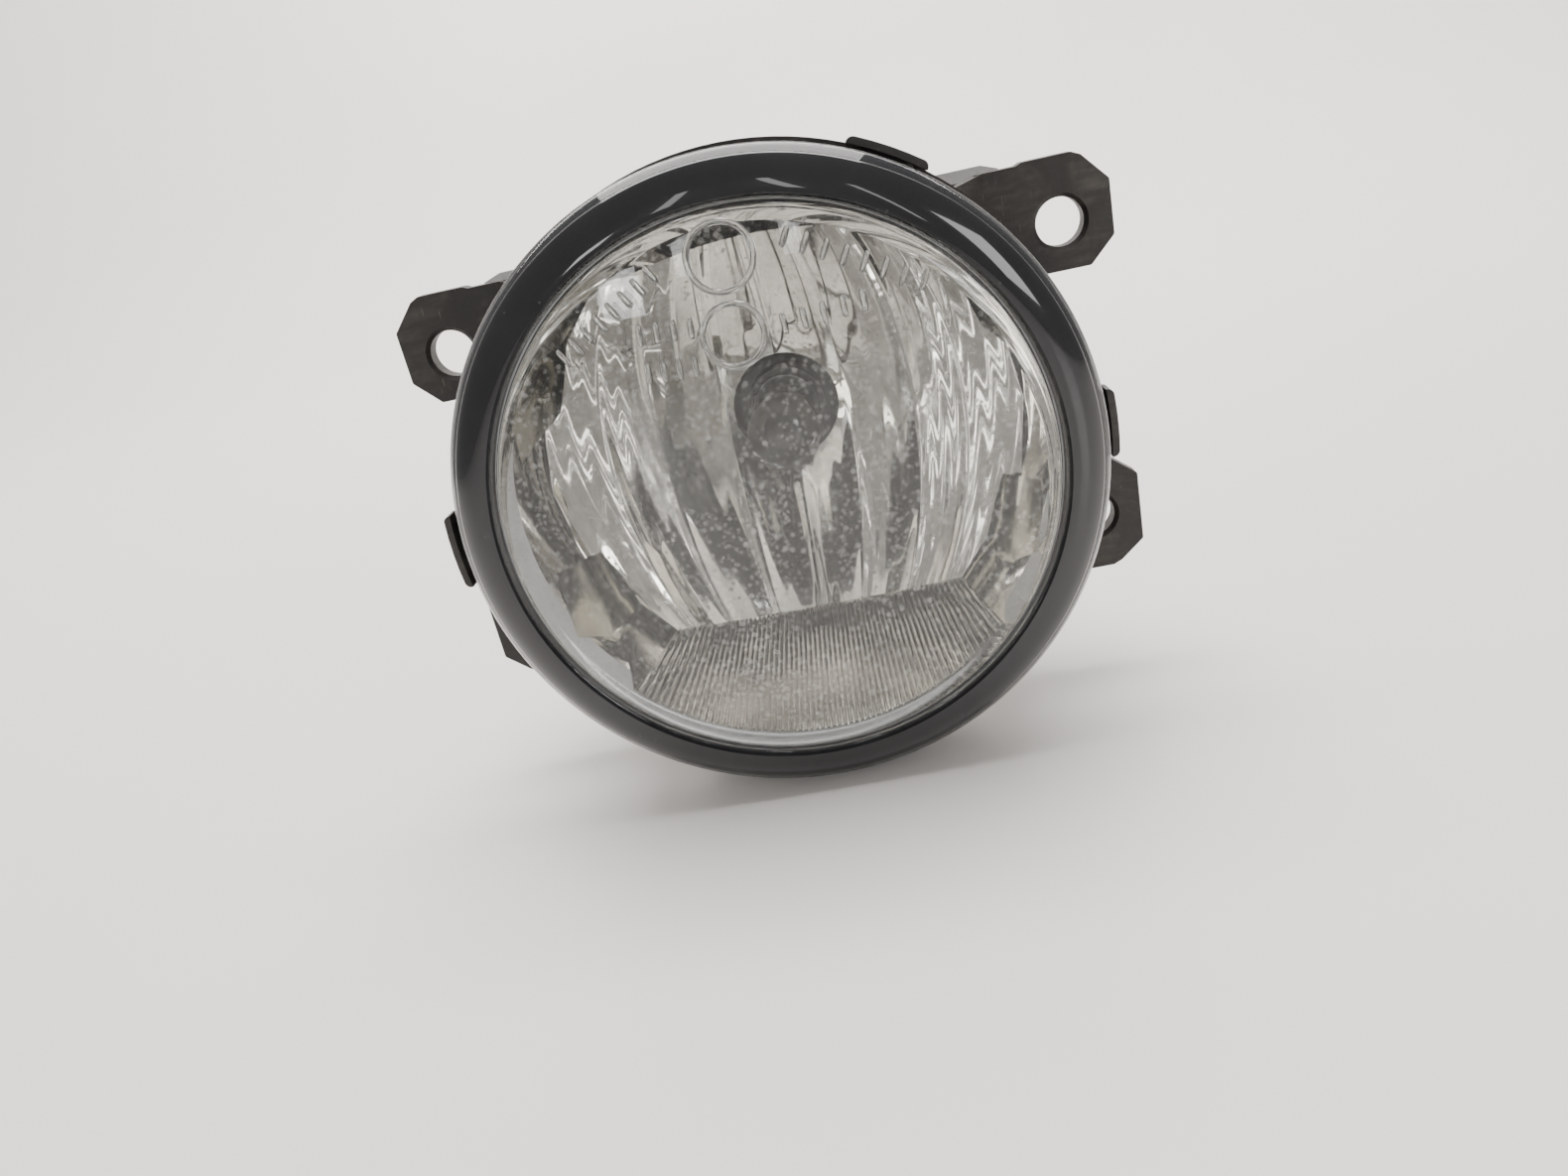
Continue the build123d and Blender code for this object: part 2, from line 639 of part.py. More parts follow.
NODES = [
    lens, lens_mask_ring, lens_seal, lamp_body, reflector, vent_membrane, vent_cap,
    bulb_glass, bulb_tip_coating, filament, filament_supports, bulb_foils, bulb_clip_ring,
    bulb_o_ring, bulb_terminals, bulb_leads, bulb_base,
    mounting_frame, adjuster_screw, adjuster_clip, adjuster_nut,
]

os.makedirs("parts", exist_ok=True)
for make in NODES:
    save(make.__name__, make())
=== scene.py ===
import bmesh
import bpy
import math
from mathutils import Matrix, Vector


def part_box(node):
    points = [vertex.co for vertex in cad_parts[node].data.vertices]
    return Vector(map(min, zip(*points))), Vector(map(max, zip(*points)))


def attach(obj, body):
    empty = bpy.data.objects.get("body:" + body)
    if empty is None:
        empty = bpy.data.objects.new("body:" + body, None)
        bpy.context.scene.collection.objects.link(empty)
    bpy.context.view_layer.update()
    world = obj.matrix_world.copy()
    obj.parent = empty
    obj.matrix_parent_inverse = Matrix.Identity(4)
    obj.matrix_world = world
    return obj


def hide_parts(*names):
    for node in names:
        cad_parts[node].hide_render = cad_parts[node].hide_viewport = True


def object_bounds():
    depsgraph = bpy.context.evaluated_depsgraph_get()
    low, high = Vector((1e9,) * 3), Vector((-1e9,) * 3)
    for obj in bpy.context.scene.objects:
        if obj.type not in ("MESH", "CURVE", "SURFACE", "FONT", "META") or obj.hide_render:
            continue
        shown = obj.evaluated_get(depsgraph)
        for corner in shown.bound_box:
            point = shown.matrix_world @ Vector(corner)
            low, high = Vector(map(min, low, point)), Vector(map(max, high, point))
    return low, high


# Round fog lamp, seen from the front and a little above.
# The frame's axes: X right, the lamp faces -Y, Z up. Blender units are metres.
# Shapes are worked out in millimetres and converted once, in mesh_object.

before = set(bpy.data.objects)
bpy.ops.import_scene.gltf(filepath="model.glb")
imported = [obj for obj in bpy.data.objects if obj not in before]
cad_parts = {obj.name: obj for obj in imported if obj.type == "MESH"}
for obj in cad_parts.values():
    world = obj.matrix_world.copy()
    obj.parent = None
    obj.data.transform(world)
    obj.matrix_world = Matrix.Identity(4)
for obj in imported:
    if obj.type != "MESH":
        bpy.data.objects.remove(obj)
cad_low, cad_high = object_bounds()
MM = 0.001


def box_mm(node):
    """Lowest and highest corner of a CAD node in millimetres."""
    low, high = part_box(node)
    return [c / MM for c in low], [c / MM for c in high]


lens_low, lens_high = box_mm("lens")
mirror_low, mirror_high = box_mm("reflector")

RIM_R = lens_high[0]                 # outer radius of the glass rim
DOME_FRONT = lens_low[1]             # front of the dome
RIM_BACK = lens_high[1]              # back face of the rim
GLASS_T = 3.0
DOME_R = 0.827 * RIM_R               # edge of the clear dome
DOME_RISE = 2.7
GROOVE_IN = 37.8                     # floor of the groove round the dome
GROOVE_OUT = 38.9
GROOVE_Y = -2.5
INNER_R = 38.0                       # the glass's hollow side
FOOT_R = 38.4
BAND = ((39.3, -3.1), (42.8, -2.1), (RIM_R, 0.0))
MASK_IN = 38.75                      # the black ring in the band
MASK_OUT = 44.1
MASK_SKIN = 0.02                     # it stands this far proud of the glass
MASK_BACK = RIM_BACK + 0.45
DUST_R = 37.6
DUST_GAP = 0.15                      # dust sheet behind the glass
MARK_HALF = 0.42                     # half width of a raised mark
MARK_RISE = 0.22
TICK_HALF = 1.35                     # half length of a tick
MARK_RINGS = ((-0.4, 32.6, 4.2), (-0.7, 23.1, 3.9))     # x, z and radius
MARK_ROWS = (                        # first x and z, last x and z, number of ticks
    (-22.7, 24.5, -9.3, 32.2, 8),
    (-12.4, 25.4, -5.8, 25.0, 4),
    (-12.4, 20.6, -6.3, 20.2, 4),
    (5.8, 23.2, 16.0, 23.9, 5),
    (7.9, 33.3, 23.8, 24.7, 8),
)

FOCAL = 12.0                         # of the mirror bowl
VERTEX = 58.0
WALL_R = mirror_high[0] - 0.9        # inside of the reflector's straight part
HOLE_R = 9.6                         # hole for the bulb
LEDGE_Y = mirror_low[1]              # front face of the reflector
POLE_Z = 42.0                        # the flutes converge towards these two poles
FLUTE_EDGES = (-0.91, -0.72, -0.54, -0.262, 0.0, 0.262, 0.54, 0.72, 0.91)
FLUTE_RISE = 0.55
FLUTE_STEPS = 22
RIPPLE = 0.024                       # shallow waves along each flute
SHELF_HALF_BACK = 24.4
SHELF_HALF_FRONT = 27.8
SHELF_MIDDLE = -31.9
SHELF_SIDE = -28.3
SHELF_FRONT_Y = LEDGE_Y + 0.6
SHELF_FRONT_Z = math.sqrt(WALL_R ** 2 - SHELF_HALF_FRONT ** 2)
RIBS = 64
RIB_STEPS = 6
RIB_RISE = 0.42


# --- node helpers -------------------------------------------------------------------
class Shader:
    """A material and short calls that add its nodes."""

    def __init__(self, name):
        self.material = bpy.data.materials.new(name)
        self.material.use_nodes = True
        self.tree = self.material.node_tree
        self.tree.nodes.clear()
        self.output = self.tree.nodes.new("ShaderNodeOutputMaterial")
        self.coords = self.tree.nodes.new("ShaderNodeTexCoord")

    def add(self, kind, inputs=None, **settings):
        node = self.tree.nodes.new(kind)
        for key, value in settings.items():
            setattr(node, key, value)
        for key, value in (inputs or {}).items():
            if isinstance(value, bpy.types.NodeSocket):
                self.tree.links.new(value, node.inputs[key])
            else:
                node.inputs[key].default_value = value
        return node

    def place(self, scale=(1, 1, 1), rotation=(0, 0, 0)):
        """Object coordinates, stretched and turned."""
        node = self.add("ShaderNodeMapping", {"Vector": self.coords.outputs["Object"]})
        node.inputs["Scale"].default_value = scale
        node.inputs["Rotation"].default_value = rotation
        return node.outputs[0]

    def noise(self, scale, detail=4.0, roughness=0.55, vector=None, distortion=0.0):
        vector = vector or self.coords.outputs["Object"]
        node = self.add("ShaderNodeTexNoise", {
            "Vector": vector, "Scale": scale, "Detail": detail,
            "Roughness": roughness, "Distortion": distortion})
        return node.outputs["Fac"]

    def cells(self, scale, vector=None, feature="F1"):
        vector = vector or self.coords.outputs["Object"]
        node = self.add("ShaderNodeTexVoronoi", {"Vector": vector, "Scale": scale}, feature=feature)
        return node.outputs["Distance"]

    def span(self, value, low, high, out_low=0.0, out_high=1.0):
        """Map value from low..high to out_low..out_high, clamped."""
        node = self.add("ShaderNodeMapRange", {
            "Value": value, "From Min": low, "From Max": high,
            "To Min": out_low, "To Max": out_high})
        return node.outputs[0]

    def math(self, operation, a, b=0.0):
        node = self.add("ShaderNodeMath", {0: a, 1: b}, operation=operation)
        return node.outputs[0]

    def colours(self, factor, *stops):
        """Colour ramp; each stop is (position, (r, g, b))."""
        node = self.add("ShaderNodeValToRGB", {"Fac": factor})
        ramp = node.color_ramp
        while len(ramp.elements) < len(stops):
            ramp.elements.new(0.5)
        for element, (position, colour) in zip(ramp.elements, stops):
            element.position = position
            element.color = (*colour, 1.0)
        return node.outputs["Color"]

    def blend(self, factor, a, b):
        node = self.add("ShaderNodeMix", data_type="RGBA")
        for index, value in ((0, factor), (6, a), (7, b)):
            if isinstance(value, bpy.types.NodeSocket):
                self.tree.links.new(value, node.inputs[index])
            elif index == 0:
                node.inputs[0].default_value = value
            else:
                node.inputs[index].default_value = (*value, 1.0)
        return node.outputs[2]

    def bump(self, height, strength, distance, normal=None):
        node = self.add("ShaderNodeBump", {"Height": height, "Strength": strength, "Distance": distance})
        if normal is not None:
            self.tree.links.new(normal, node.inputs["Normal"])
        return node.outputs[0]

    def surface(self, **inputs):
        """Principled shader on the output; names are its sockets with _ for spaces."""
        node = self.add("ShaderNodeBsdfPrincipled")
        for key, value in inputs.items():
            socket = node.inputs[key.replace("_", " ")]
            if isinstance(value, bpy.types.NodeSocket):
                self.tree.links.new(value, socket)
            elif isinstance(value, tuple):
                socket.default_value = (*value, 1.0)
            else:
                socket.default_value = value
        self.tree.links.new(node.outputs[0], self.output.inputs["Surface"])
        return node


# --- materials ----------------------------------------------------------------------
def let_lamps_through(shader, glass):
    """Glass that doesn't block lamps from what is behind it."""
    path = shader.add("ShaderNodeLightPath")
    clear = shader.add("ShaderNodeBsdfTransparent")
    mix = shader.add("ShaderNodeMixShader", {0: path.outputs["Is Shadow Ray"]})
    shader.tree.links.new(glass.outputs[0], mix.inputs[1])
    shader.tree.links.new(clear.outputs[0], mix.inputs[2])
    shader.tree.links.new(mix.outputs[0], shader.output.inputs["Surface"])


def lens_glass():
    s = Shader("pressed_lens_glass")
    waves = s.noise(55.0, detail=2.0)
    pores = s.noise(900.0, detail=3.0)
    scratches = s.noise(420.0, detail=2.0, vector=s.place((1.0, 1.0, 14.0), (0.0, 0.7, 0.0)))
    normal = s.bump(waves, 0.03, 0.0004)
    normal = s.bump(s.span(scratches, 0.70, 0.76), 0.05, 0.00005, normal)
    glass = s.surface(
        Base_Color=s.colours(waves, (0.3, (0.955, 0.965, 0.96)), (0.7, (0.985, 0.99, 0.985))),
        Roughness=s.span(pores, 0.35, 0.75, 0.005, 0.03),
        IOR=1.5,
        Normal=normal,
        Transmission_Weight=1.0,
    )
    let_lamps_through(s, glass)
    return s.material


def quartz():
    s = Shader("fused_quartz")
    mist = s.noise(240.0)
    glass = s.surface(
        Base_Color=s.colours(mist, (0.3, (0.93, 0.93, 0.92)), (0.7, (0.98, 0.98, 0.98))),
        Roughness=s.span(mist, 0.3, 0.8, 0.01, 0.08),
        IOR=1.46,
        Normal=s.bump(mist, 0.05, 0.0002),
        Transmission_Weight=1.0,
    )
    let_lamps_through(s, glass)
    return s.material


def gloss_black(name, tint=(0.010, 0.0105, 0.012)):
    s = Shader(name)
    mottle = s.noise(60.0, detail=3.0)
    specks = s.span(s.cells(300.0), 0.07, 0.04)
    base = s.colours(mottle, (0.3, tint), (0.75, tuple(1.5 * c for c in tint)))
    s.surface(
        Base_Color=s.blend(s.math("MULTIPLY", specks, 0.25), base, (0.12, 0.12, 0.115)),
        Roughness=s.span(mottle, 0.3, 0.75, 0.10, 0.22),
        IOR=1.5,
        Specular_IOR_Level=0.1,
        Coat_Weight=1.0,
        Coat_Roughness=0.02,
        Normal=s.bump(mottle, 0.015, 0.0001),
    )
    return s.material


def mirror(name, dull, bright, grime_amount=0.8):
    """Vacuum-metallised plastic, hazed and speckled inside an old lamp."""
    s = Shader(name)
    haze = s.noise(85.0, detail=7.0, roughness=0.65)
    fine = s.noise(850.0, detail=4.0, roughness=0.7)
    spots = s.span(s.cells(700.0), 0.34, 0.12)
    grime = s.math("MULTIPLY", spots, s.span(haze, 0.38, 0.60, 0.15, grime_amount))
    base = s.colours(haze, (0.32, dull), (0.62, bright))
    rough = s.math("ADD", s.span(fine, 0.35, 0.8, 0.015, 0.07), s.math("MULTIPLY", grime, 0.25))
    s.surface(
        Base_Color=s.blend(grime, base, tuple(0.5 * c for c in bright)),
        Metallic=1.0,
        Roughness=rough,
        Normal=s.bump(fine, 0.03, 0.00004),
    )
    return s.material


def satin_metal():
    s = Shader("satin_reflector_edge")
    grain = s.noise(1500.0, detail=3.0, roughness=0.7)
    broad = s.noise(90.0)
    s.surface(
        Base_Color=s.colours(broad, (0.3, (0.66, 0.66, 0.66)), (0.7, (0.82, 0.82, 0.82))),
        Metallic=0.55,
        Roughness=s.span(grain, 0.3, 0.7, 0.38, 0.62),
        Normal=s.bump(grain, 0.35, 0.00015),
    )
    return s.material


def facet_metal():
    """Slightly yellowed metallising on the corner facets."""
    s = Shader("yellowed_facets")
    broad = s.noise(150.0, detail=5.0)
    fine = s.noise(900.0, detail=3.0)
    s.surface(
        Base_Color=s.colours(broad, (0.3, (0.66, 0.64, 0.55)), (0.7, (0.84, 0.82, 0.74))),
        Metallic=1.0,
        Roughness=s.span(fine, 0.3, 0.7, 0.05, 0.10),
        Normal=s.bump(broad, 0.05, 0.0002),
    )
    return s.material


def moulded_black(name, dark, dusty, dust_amount, grain=1500.0):
    """Moulded plastic with a fine texture, dust smudges and pale scuffs."""
    s = Shader(name)
    texture = s.noise(grain, detail=4.0, roughness=0.7)
    smudge = s.noise(95.0, detail=7.0, roughness=0.62, distortion=0.8)
    streak = s.noise(160.0, detail=5.0, vector=s.place((1.0, 1.0, 5.0), (0.0, 0.8, 0.0)))
    scuff = s.noise(300.0, detail=3.0, vector=s.place((9.0, 1.0, 1.0), (0.0, -0.6, 0.0)))
    wear = s.math("MULTIPLY", s.span(smudge, 0.46, 0.72), s.span(streak, 0.38, 0.68))
    dust = s.math("MULTIPLY", wear, dust_amount)
    marks = s.math("MULTIPLY", s.span(scuff, 0.69, 0.75), 0.35)
    base = s.colours(smudge, (0.32, dark), (0.66, tuple(1.6 * c for c in dark)))
    base = s.blend(dust, base, dusty)
    base = s.blend(marks, base, tuple(1.5 * c for c in dusty))
    rough = s.math("ADD", s.span(texture, 0.3, 0.75, 0.40, 0.58), s.math("MULTIPLY", wear, 0.22))
    normal = s.bump(texture, 0.22, 0.00012)
    normal = s.bump(streak, 0.10, 0.0003, normal)
    s.surface(Base_Color=base, Roughness=rough, IOR=1.5, Specular_IOR_Level=0.45, Normal=normal)
    return s.material


def rubber():
    s = Shader("seal_rubber_black")
    grain = s.noise(1200.0, detail=4.0)
    broad = s.noise(120.0)
    s.surface(
        Base_Color=s.colours(broad, (0.3, (0.018, 0.018, 0.018)), (0.7, (0.045, 0.044, 0.042))),
        Roughness=s.span(grain, 0.3, 0.7, 0.62, 0.85),
        Normal=s.bump(grain, 0.2, 0.0001),
    )
    return s.material


def adhesive():
    s = Shader("cured_adhesive")
    lumps = s.noise(260.0, detail=4.0)
    s.surface(
        Base_Color=s.colours(lumps, (0.3, (0.03, 0.03, 0.03)), (0.7, (0.07, 0.068, 0.065))),
        Roughness=s.span(lumps, 0.3, 0.7, 0.45, 0.7),
        Normal=s.bump(lumps, 0.4, 0.0004),
    )
    return s.material


def metal(name, low, high, stretch=(1.0, 12.0, 1.0), rough=(0.22, 0.42)):
    s = Shader(name)
    lines = s.noise(700.0, detail=5.0, vector=s.place(stretch))
    stain = s.noise(160.0, detail=5.0)
    base = s.colours(stain, (0.32, low), (0.64, high))
    s.surface(
        Base_Color=base,
        Metallic=1.0,
        Roughness=s.span(lines, 0.3, 0.7, *rough),
        Normal=s.bump(lines, 0.12, 0.00006),
    )
    return s.material


def nylon():
    s = Shader("natural_nylon")
    broad = s.noise(180.0, detail=5.0)
    fine = s.noise(1300.0)
    s.surface(
        Base_Color=s.colours(broad, (0.3, (0.62, 0.59, 0.52)), (0.7, (0.78, 0.76, 0.70))),
        Roughness=s.span(fine, 0.3, 0.7, 0.35, 0.55),
        Subsurface_Weight=0.15,
        Subsurface_Scale=0.001,
        Normal=s.bump(fine, 0.1, 0.0001),
    )
    return s.material


def membrane():
    s = Shader("breather_film")
    weave = s.noise(2400.0, detail=5.0)
    s.surface(
        Base_Color=s.colours(weave, (0.3, (0.70, 0.70, 0.67)), (0.7, (0.86, 0.86, 0.84))),
        Roughness=0.8,
        Normal=s.bump(weave, 0.3, 0.0001),
    )
    return s.material


def inner_dust():
    """Dried specks on the inside of the lens; clear between them."""
    s = Shader("inner_lens_dust")
    field = s.noise(60.0, detail=4.0)
    large = s.span(s.cells(620.0), 0.30, 0.16)
    small = s.span(s.cells(1150.0), 0.42, 0.20)
    specks = s.math("MAXIMUM", s.math("MULTIPLY", large, 0.36), s.math("MULTIPLY", small, 0.22))
    amount = s.math("MULTIPLY", specks, s.span(field, 0.36, 0.62, 0.15, 1.0))
    amount = s.math("ADD", amount, s.span(field, 0.3, 0.7, 0.0, 0.02))
    s.surface(
        Base_Color=s.colours(field, (0.3, (0.55, 0.53, 0.50)), (0.7, (0.72, 0.70, 0.66))),
        Roughness=0.7,
        Alpha=amount,
    )
    return s.material


def floor_material():
    s = Shader("pale_floor")
    broad = s.noise(3.0, detail=3.0)
    s.surface(
        Base_Color=s.colours(broad, (0.3, (0.80, 0.775, 0.755)), (0.7, (0.84, 0.815, 0.795))),
        Roughness=s.span(broad, 0.3, 0.7, 0.30, 0.36),
        Specular_IOR_Level=0.5,
    )
    return s.material


# --- mesh helpers -------------------------------------------------------------------
def mesh_object(name, points, faces, material, body, sharp=40.0):
    """Mesh piece from millimetre points, riding on a body."""
    mesh = bpy.data.meshes.new(name)
    mesh.from_pydata([tuple(c * MM for c in p) for p in points], [], faces)
    mesh.validate()
    work = bmesh.new()
    work.from_mesh(mesh)
    bmesh.ops.remove_doubles(work, verts=work.verts, dist=0.002 * MM)
    bmesh.ops.recalc_face_normals(work, faces=work.faces)
    work.to_mesh(mesh)
    work.free()
    for polygon in mesh.polygons:
        polygon.use_smooth = True
    mesh.set_sharp_from_angle(angle=math.radians(sharp))
    piece = bpy.data.objects.new(name, mesh)
    bpy.context.scene.collection.objects.link(piece)
    piece.data.materials.append(material)
    if body:
        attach(piece, body)
    return piece


def lathe(profile, steps=288, closed=True):
    """Points and faces of a (radius, depth) profile turned about the optical axis."""
    points, rings, faces = [], [], []
    for radius, depth in profile:
        if radius < 1e-6:
            rings.append([len(points)] * steps)
            points.append((0.0, depth, 0.0))
            continue
        rings.append(list(range(len(points), len(points) + steps)))
        for k in range(steps):
            angle = 2 * math.pi * k / steps
            points.append((radius * math.cos(angle), depth, radius * math.sin(angle)))
    pairs = list(zip(rings, rings[1:]))
    if closed:
        pairs.append((rings[-1], rings[0]))
    for near, far in pairs:
        for k in range(steps):
            corner = (near[k], near[(k + 1) % steps], far[(k + 1) % steps], far[k])
            face = tuple(dict.fromkeys(corner))
            if len(face) > 2:
                faces.append(face)
    return points, faces


def cap_curve(tip, radius, rise, count):
    """Profile of a sphere centred on the axis, from its tip to the given radius."""
    ball = (radius ** 2 + rise ** 2) / (2 * rise)
    steps = [radius * k / count for k in range(count + 1)]
    return [(r, tip + ball - math.sqrt(ball ** 2 - r ** 2)) for r in steps]


def arc_curve(start, middle, end, count):
    """Profile points on the circle through three points."""
    ax, ay = start
    bx, by = middle
    cx, cy = end
    d = 2 * (ax * (by - cy) + bx * (cy - ay) + cx * (ay - by))
    a2, b2, c2 = ax * ax + ay * ay, bx * bx + by * by, cx * cx + cy * cy
    ux = (a2 * (by - cy) + b2 * (cy - ay) + c2 * (ay - by)) / d
    uy = (a2 * (cx - bx) + b2 * (ax - cx) + c2 * (bx - ax)) / d
    radius = math.hypot(ax - ux, ay - uy)
    first = math.atan2(ay - uy, ax - ux)
    last = math.atan2(cy - uy, cx - ux)
    through = math.atan2(by - uy, bx - ux)
    turn = (last - first) % (2 * math.pi)
    if (through - first) % (2 * math.pi) > turn:
        turn -= 2 * math.pi
    return [(ux + radius * math.cos(first + turn * k / count),
             uy + radius * math.sin(first + turn * k / count)) for k in range(count + 1)]


def rounded(corners, radius, count=4):
    """Profile whose inner corners are eased by short curves."""
    out = [corners[0]]
    for before, here, after in zip(corners, corners[1:], corners[2:]):
        legs = []
        for other in (before, after):
            dx, dy = other[0] - here[0], other[1] - here[1]
            length = math.hypot(dx, dy)
            reach = min(radius, 0.45 * length) / length
            legs.append((here[0] + dx * reach, here[1] + dy * reach))
        for k in range(count + 1):
            t = k / count
            out.append(tuple((1 - t) ** 2 * legs[0][i] + 2 * t * (1 - t) * here[i] + t * t * legs[1][i]
                             for i in (0, 1)))
    return out + [corners[-1]]


# --- lens ---------------------------------------------------------------------------
def lens_profile():
    """Dome, groove, band, rim and hollow back of the glass."""
    inner_tip = DOME_FRONT + GLASS_T
    dome = cap_curve(DOME_FRONT, DOME_R, DOME_RISE, 28)
    groove = rounded([dome[-1], (GROOVE_IN, GROOVE_Y), (GROOVE_OUT, GROOVE_Y), BAND[0]], 0.35)
    band = band_curve()
    corners = [BAND[-1], (RIM_R, RIM_BACK), (FOOT_R, RIM_BACK), (INNER_R, inner_tip + DOME_RISE)]
    foot = rounded(corners, 0.3)
    inside = cap_curve(inner_tip, INNER_R, DOME_RISE, 28)[::-1]
    return dome[:-1] + groove[:-1] + band[:-1] + foot[:-1] + inside


def band_curve():
    """Outer surface of the glass band, from its inner edge to the rim."""
    return arc_curve(*BAND, 24)


def build_mask():
    """Black ring fused into the glass band, up to its surface."""
    front = [(r, y - MASK_SKIN) for r, y in band_curve() if r < MASK_OUT]
    outline = [(MASK_IN, -1.9), (38.95, -2.6)] + front + [(MASK_OUT, MASK_BACK), (MASK_IN, MASK_BACK)]
    points, faces = lathe(outline, steps=240)
    ring = mesh_object("mask_ring", points, faces, gloss, "lamp", sharp=50)
    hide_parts("lens_mask_ring")


def build_lens():
    """Clear lens with its raised marks."""
    glass = lens_glass()
    points, faces = lathe(lens_profile(), steps=360, closed=False)
    lens = mesh_object("lens_glass", points, faces, glass, "lamp", sharp=55)
    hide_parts("lens")
    build_marks(glass)


def dome_depth(x, z):
    """Depth of the dome's outer surface at a point."""
    ball = (DOME_R ** 2 + DOME_RISE ** 2) / (2 * DOME_RISE)
    return DOME_FRONT + ball - math.sqrt(ball ** 2 - x * x - z * z)


def raised_ring(marks, cx, cz, radius):
    """Plain rounded ring standing a little proud of the dome."""
    rows = []
    for k in range(49):
        around = 2 * math.pi * k / 48
        row = []
        for j in range(11):
            bend = 2 * math.pi * j / 10
            r = radius + MARK_HALF * math.cos(bend)
            x, z = cx + r * math.cos(around), cz + r * math.sin(around)
            row.append((x, dome_depth(x, z) - MARK_RISE * math.sin(bend), z))
        rows.append(row)
    marks.grid(rows)


def raised_tick(marks, cx, cz, tilt):
    """Plain rounded tick standing a little proud of the dome."""
    rows = []
    for k in range(13):
        along = math.pi * k / 12
        swell = math.sin(along) ** 0.4
        row = []
        for j in range(13):
            bend = 2 * math.pi * j / 12
            u = MARK_HALF * swell * math.cos(bend)
            v = TICK_HALF * math.cos(along)
            x = cx + u * math.cos(tilt) - v * math.sin(tilt)
            z = cz + u * math.sin(tilt) + v * math.cos(tilt)
            row.append((x, dome_depth(x, z) - MARK_RISE * swell * math.sin(bend), z))
        rows.append(row)
    marks.grid(rows)


def build_marks(glass):
    """Plain rings and ticks where such a lens carries its moulded marks."""
    marks = Patches()
    for ring in MARK_RINGS:
        raised_ring(marks, *ring)
    for x0, z0, x1, z1, count in MARK_ROWS:
        tilt = math.atan2(z1 - z0, x1 - x0)
        for k in range(count):
            t = k / (count - 1)
            raised_tick(marks, x0 + (x1 - x0) * t, z0 + (z1 - z0) * t, tilt)
    mesh_object("lens_marks", marks.points, marks.faces, glass, "lamp", 60)


def build_inner_dust():
    """Thin sheet of specks just behind the glass."""
    front = cap_curve(DOME_FRONT + GLASS_T + DUST_GAP, DUST_R, DOME_RISE, 24)
    points, faces = lathe(front, steps=160, closed=False)
    mesh_object("lens_inner_dust", points, faces, inner_dust(), "lamp")


# --- reflector ----------------------------------------------------------------------
def bowl_depth(x, z):
    """Depth of the fluted mirror at a point."""
    r2 = x * x + z * z
    psi = x / math.sqrt(POLE_Z ** 2 - min(z * z, 0.98 * POLE_Z ** 2))
    for left, right in zip(FLUTE_EDGES, FLUTE_EDGES[1:]):
        if psi <= right:
            break
    t = max(-1.0, min(1.0, 2 * (psi - left) / (right - left) - 1))
    fade = min(1.0, max(0.0, (math.sqrt(r2) - HOLE_R) / 6.0))
    width = (right - left) / 0.27
    ripple = RIPPLE * math.cos(3.0 * math.pi * t)
    return VERTEX - r2 / (4 * FOCAL) - (FLUTE_RISE * width * (1 - t * t) + ripple) * fade


def shelf_edge(x):
    """Height of the shelf's back edge."""
    return SHELF_MIDDLE + (SHELF_SIDE - SHELF_MIDDLE) * (x / SHELF_HALF_BACK) ** 2


def flute_foot(psi):
    """Lowest z of a flute line: the shelf's edge or the round wall."""
    wall2 = (WALL_R ** 2 - (POLE_Z * psi) ** 2) / max(1 - psi * psi, 1e-6)
    wall = math.sqrt(max(wall2, 0.0))
    z = SHELF_MIDDLE
    for _ in range(12):
        x = psi * math.sqrt(POLE_Z ** 2 - z * z)
        z = shelf_edge(x)
    if abs(x) > SHELF_HALF_BACK or -z > wall:
        return -wall
    return z


class Patches:
    """Collects grids of points into one mesh."""

    def __init__(self):
        self.points = []
        self.faces = []

    def grid(self, rows, flip=False):
        """Four-cornered faces between rows of points."""
        start = len(self.points)
        width = len(rows[0])
        for row in rows:
            self.points.extend(row)
        for i in range(len(rows) - 1):
            for j in range(width - 1):
                a = start + i * width + j
                face = (a, a + 1, a + width + 1, a + width)
                self.faces.append(face[::-1] if flip else face)

    def open_hole(self, radius):
        """Drop the faces that lie wholly within a radius of the axis."""
        def inside(index):
            x, _, z = self.points[index]
            return math.hypot(x, z) < radius + 0.01
        self.faces = [face for face in self.faces if not all(inside(k) for k in face)]

    def facet(self, *corners, flip=False):
        """One flat face."""
        start = len(self.points)
        self.points.extend(corners)
        face = tuple(range(start, start + len(corners)))
        self.faces.append(face[::-1] if flip else face)


def flute_columns():
    """Places across the bowl, several to each flute."""
    columns = []
    for left, right in zip(FLUTE_EDGES, FLUTE_EDGES[1:]):
        for k in range(FLUTE_STEPS):
            columns.append(left + (right - left) * k / FLUTE_STEPS)
    columns.append(FLUTE_EDGES[-1])
    return columns


def bowl_rows():
    """Columns of points down the bowl, kept out of the bulb's hole."""
    count = 110
    rows = []
    for psi in flute_columns():
        foot = flute_foot(psi)
        row = []
        for k in range(count + 1):
            z = foot * (1 - 2 * k / count)
            x = psi * math.sqrt(POLE_Z ** 2 - z * z)
            r = math.hypot(x, z)
            if r < HOLE_R:
                grow = HOLE_R / max(r, 1e-6)
                x, z = (x * grow, z * grow) if r > 1e-6 else (HOLE_R, 0.0)
            row.append((x, bowl_depth(x, z), z))
        rows.append(row)
    return rows


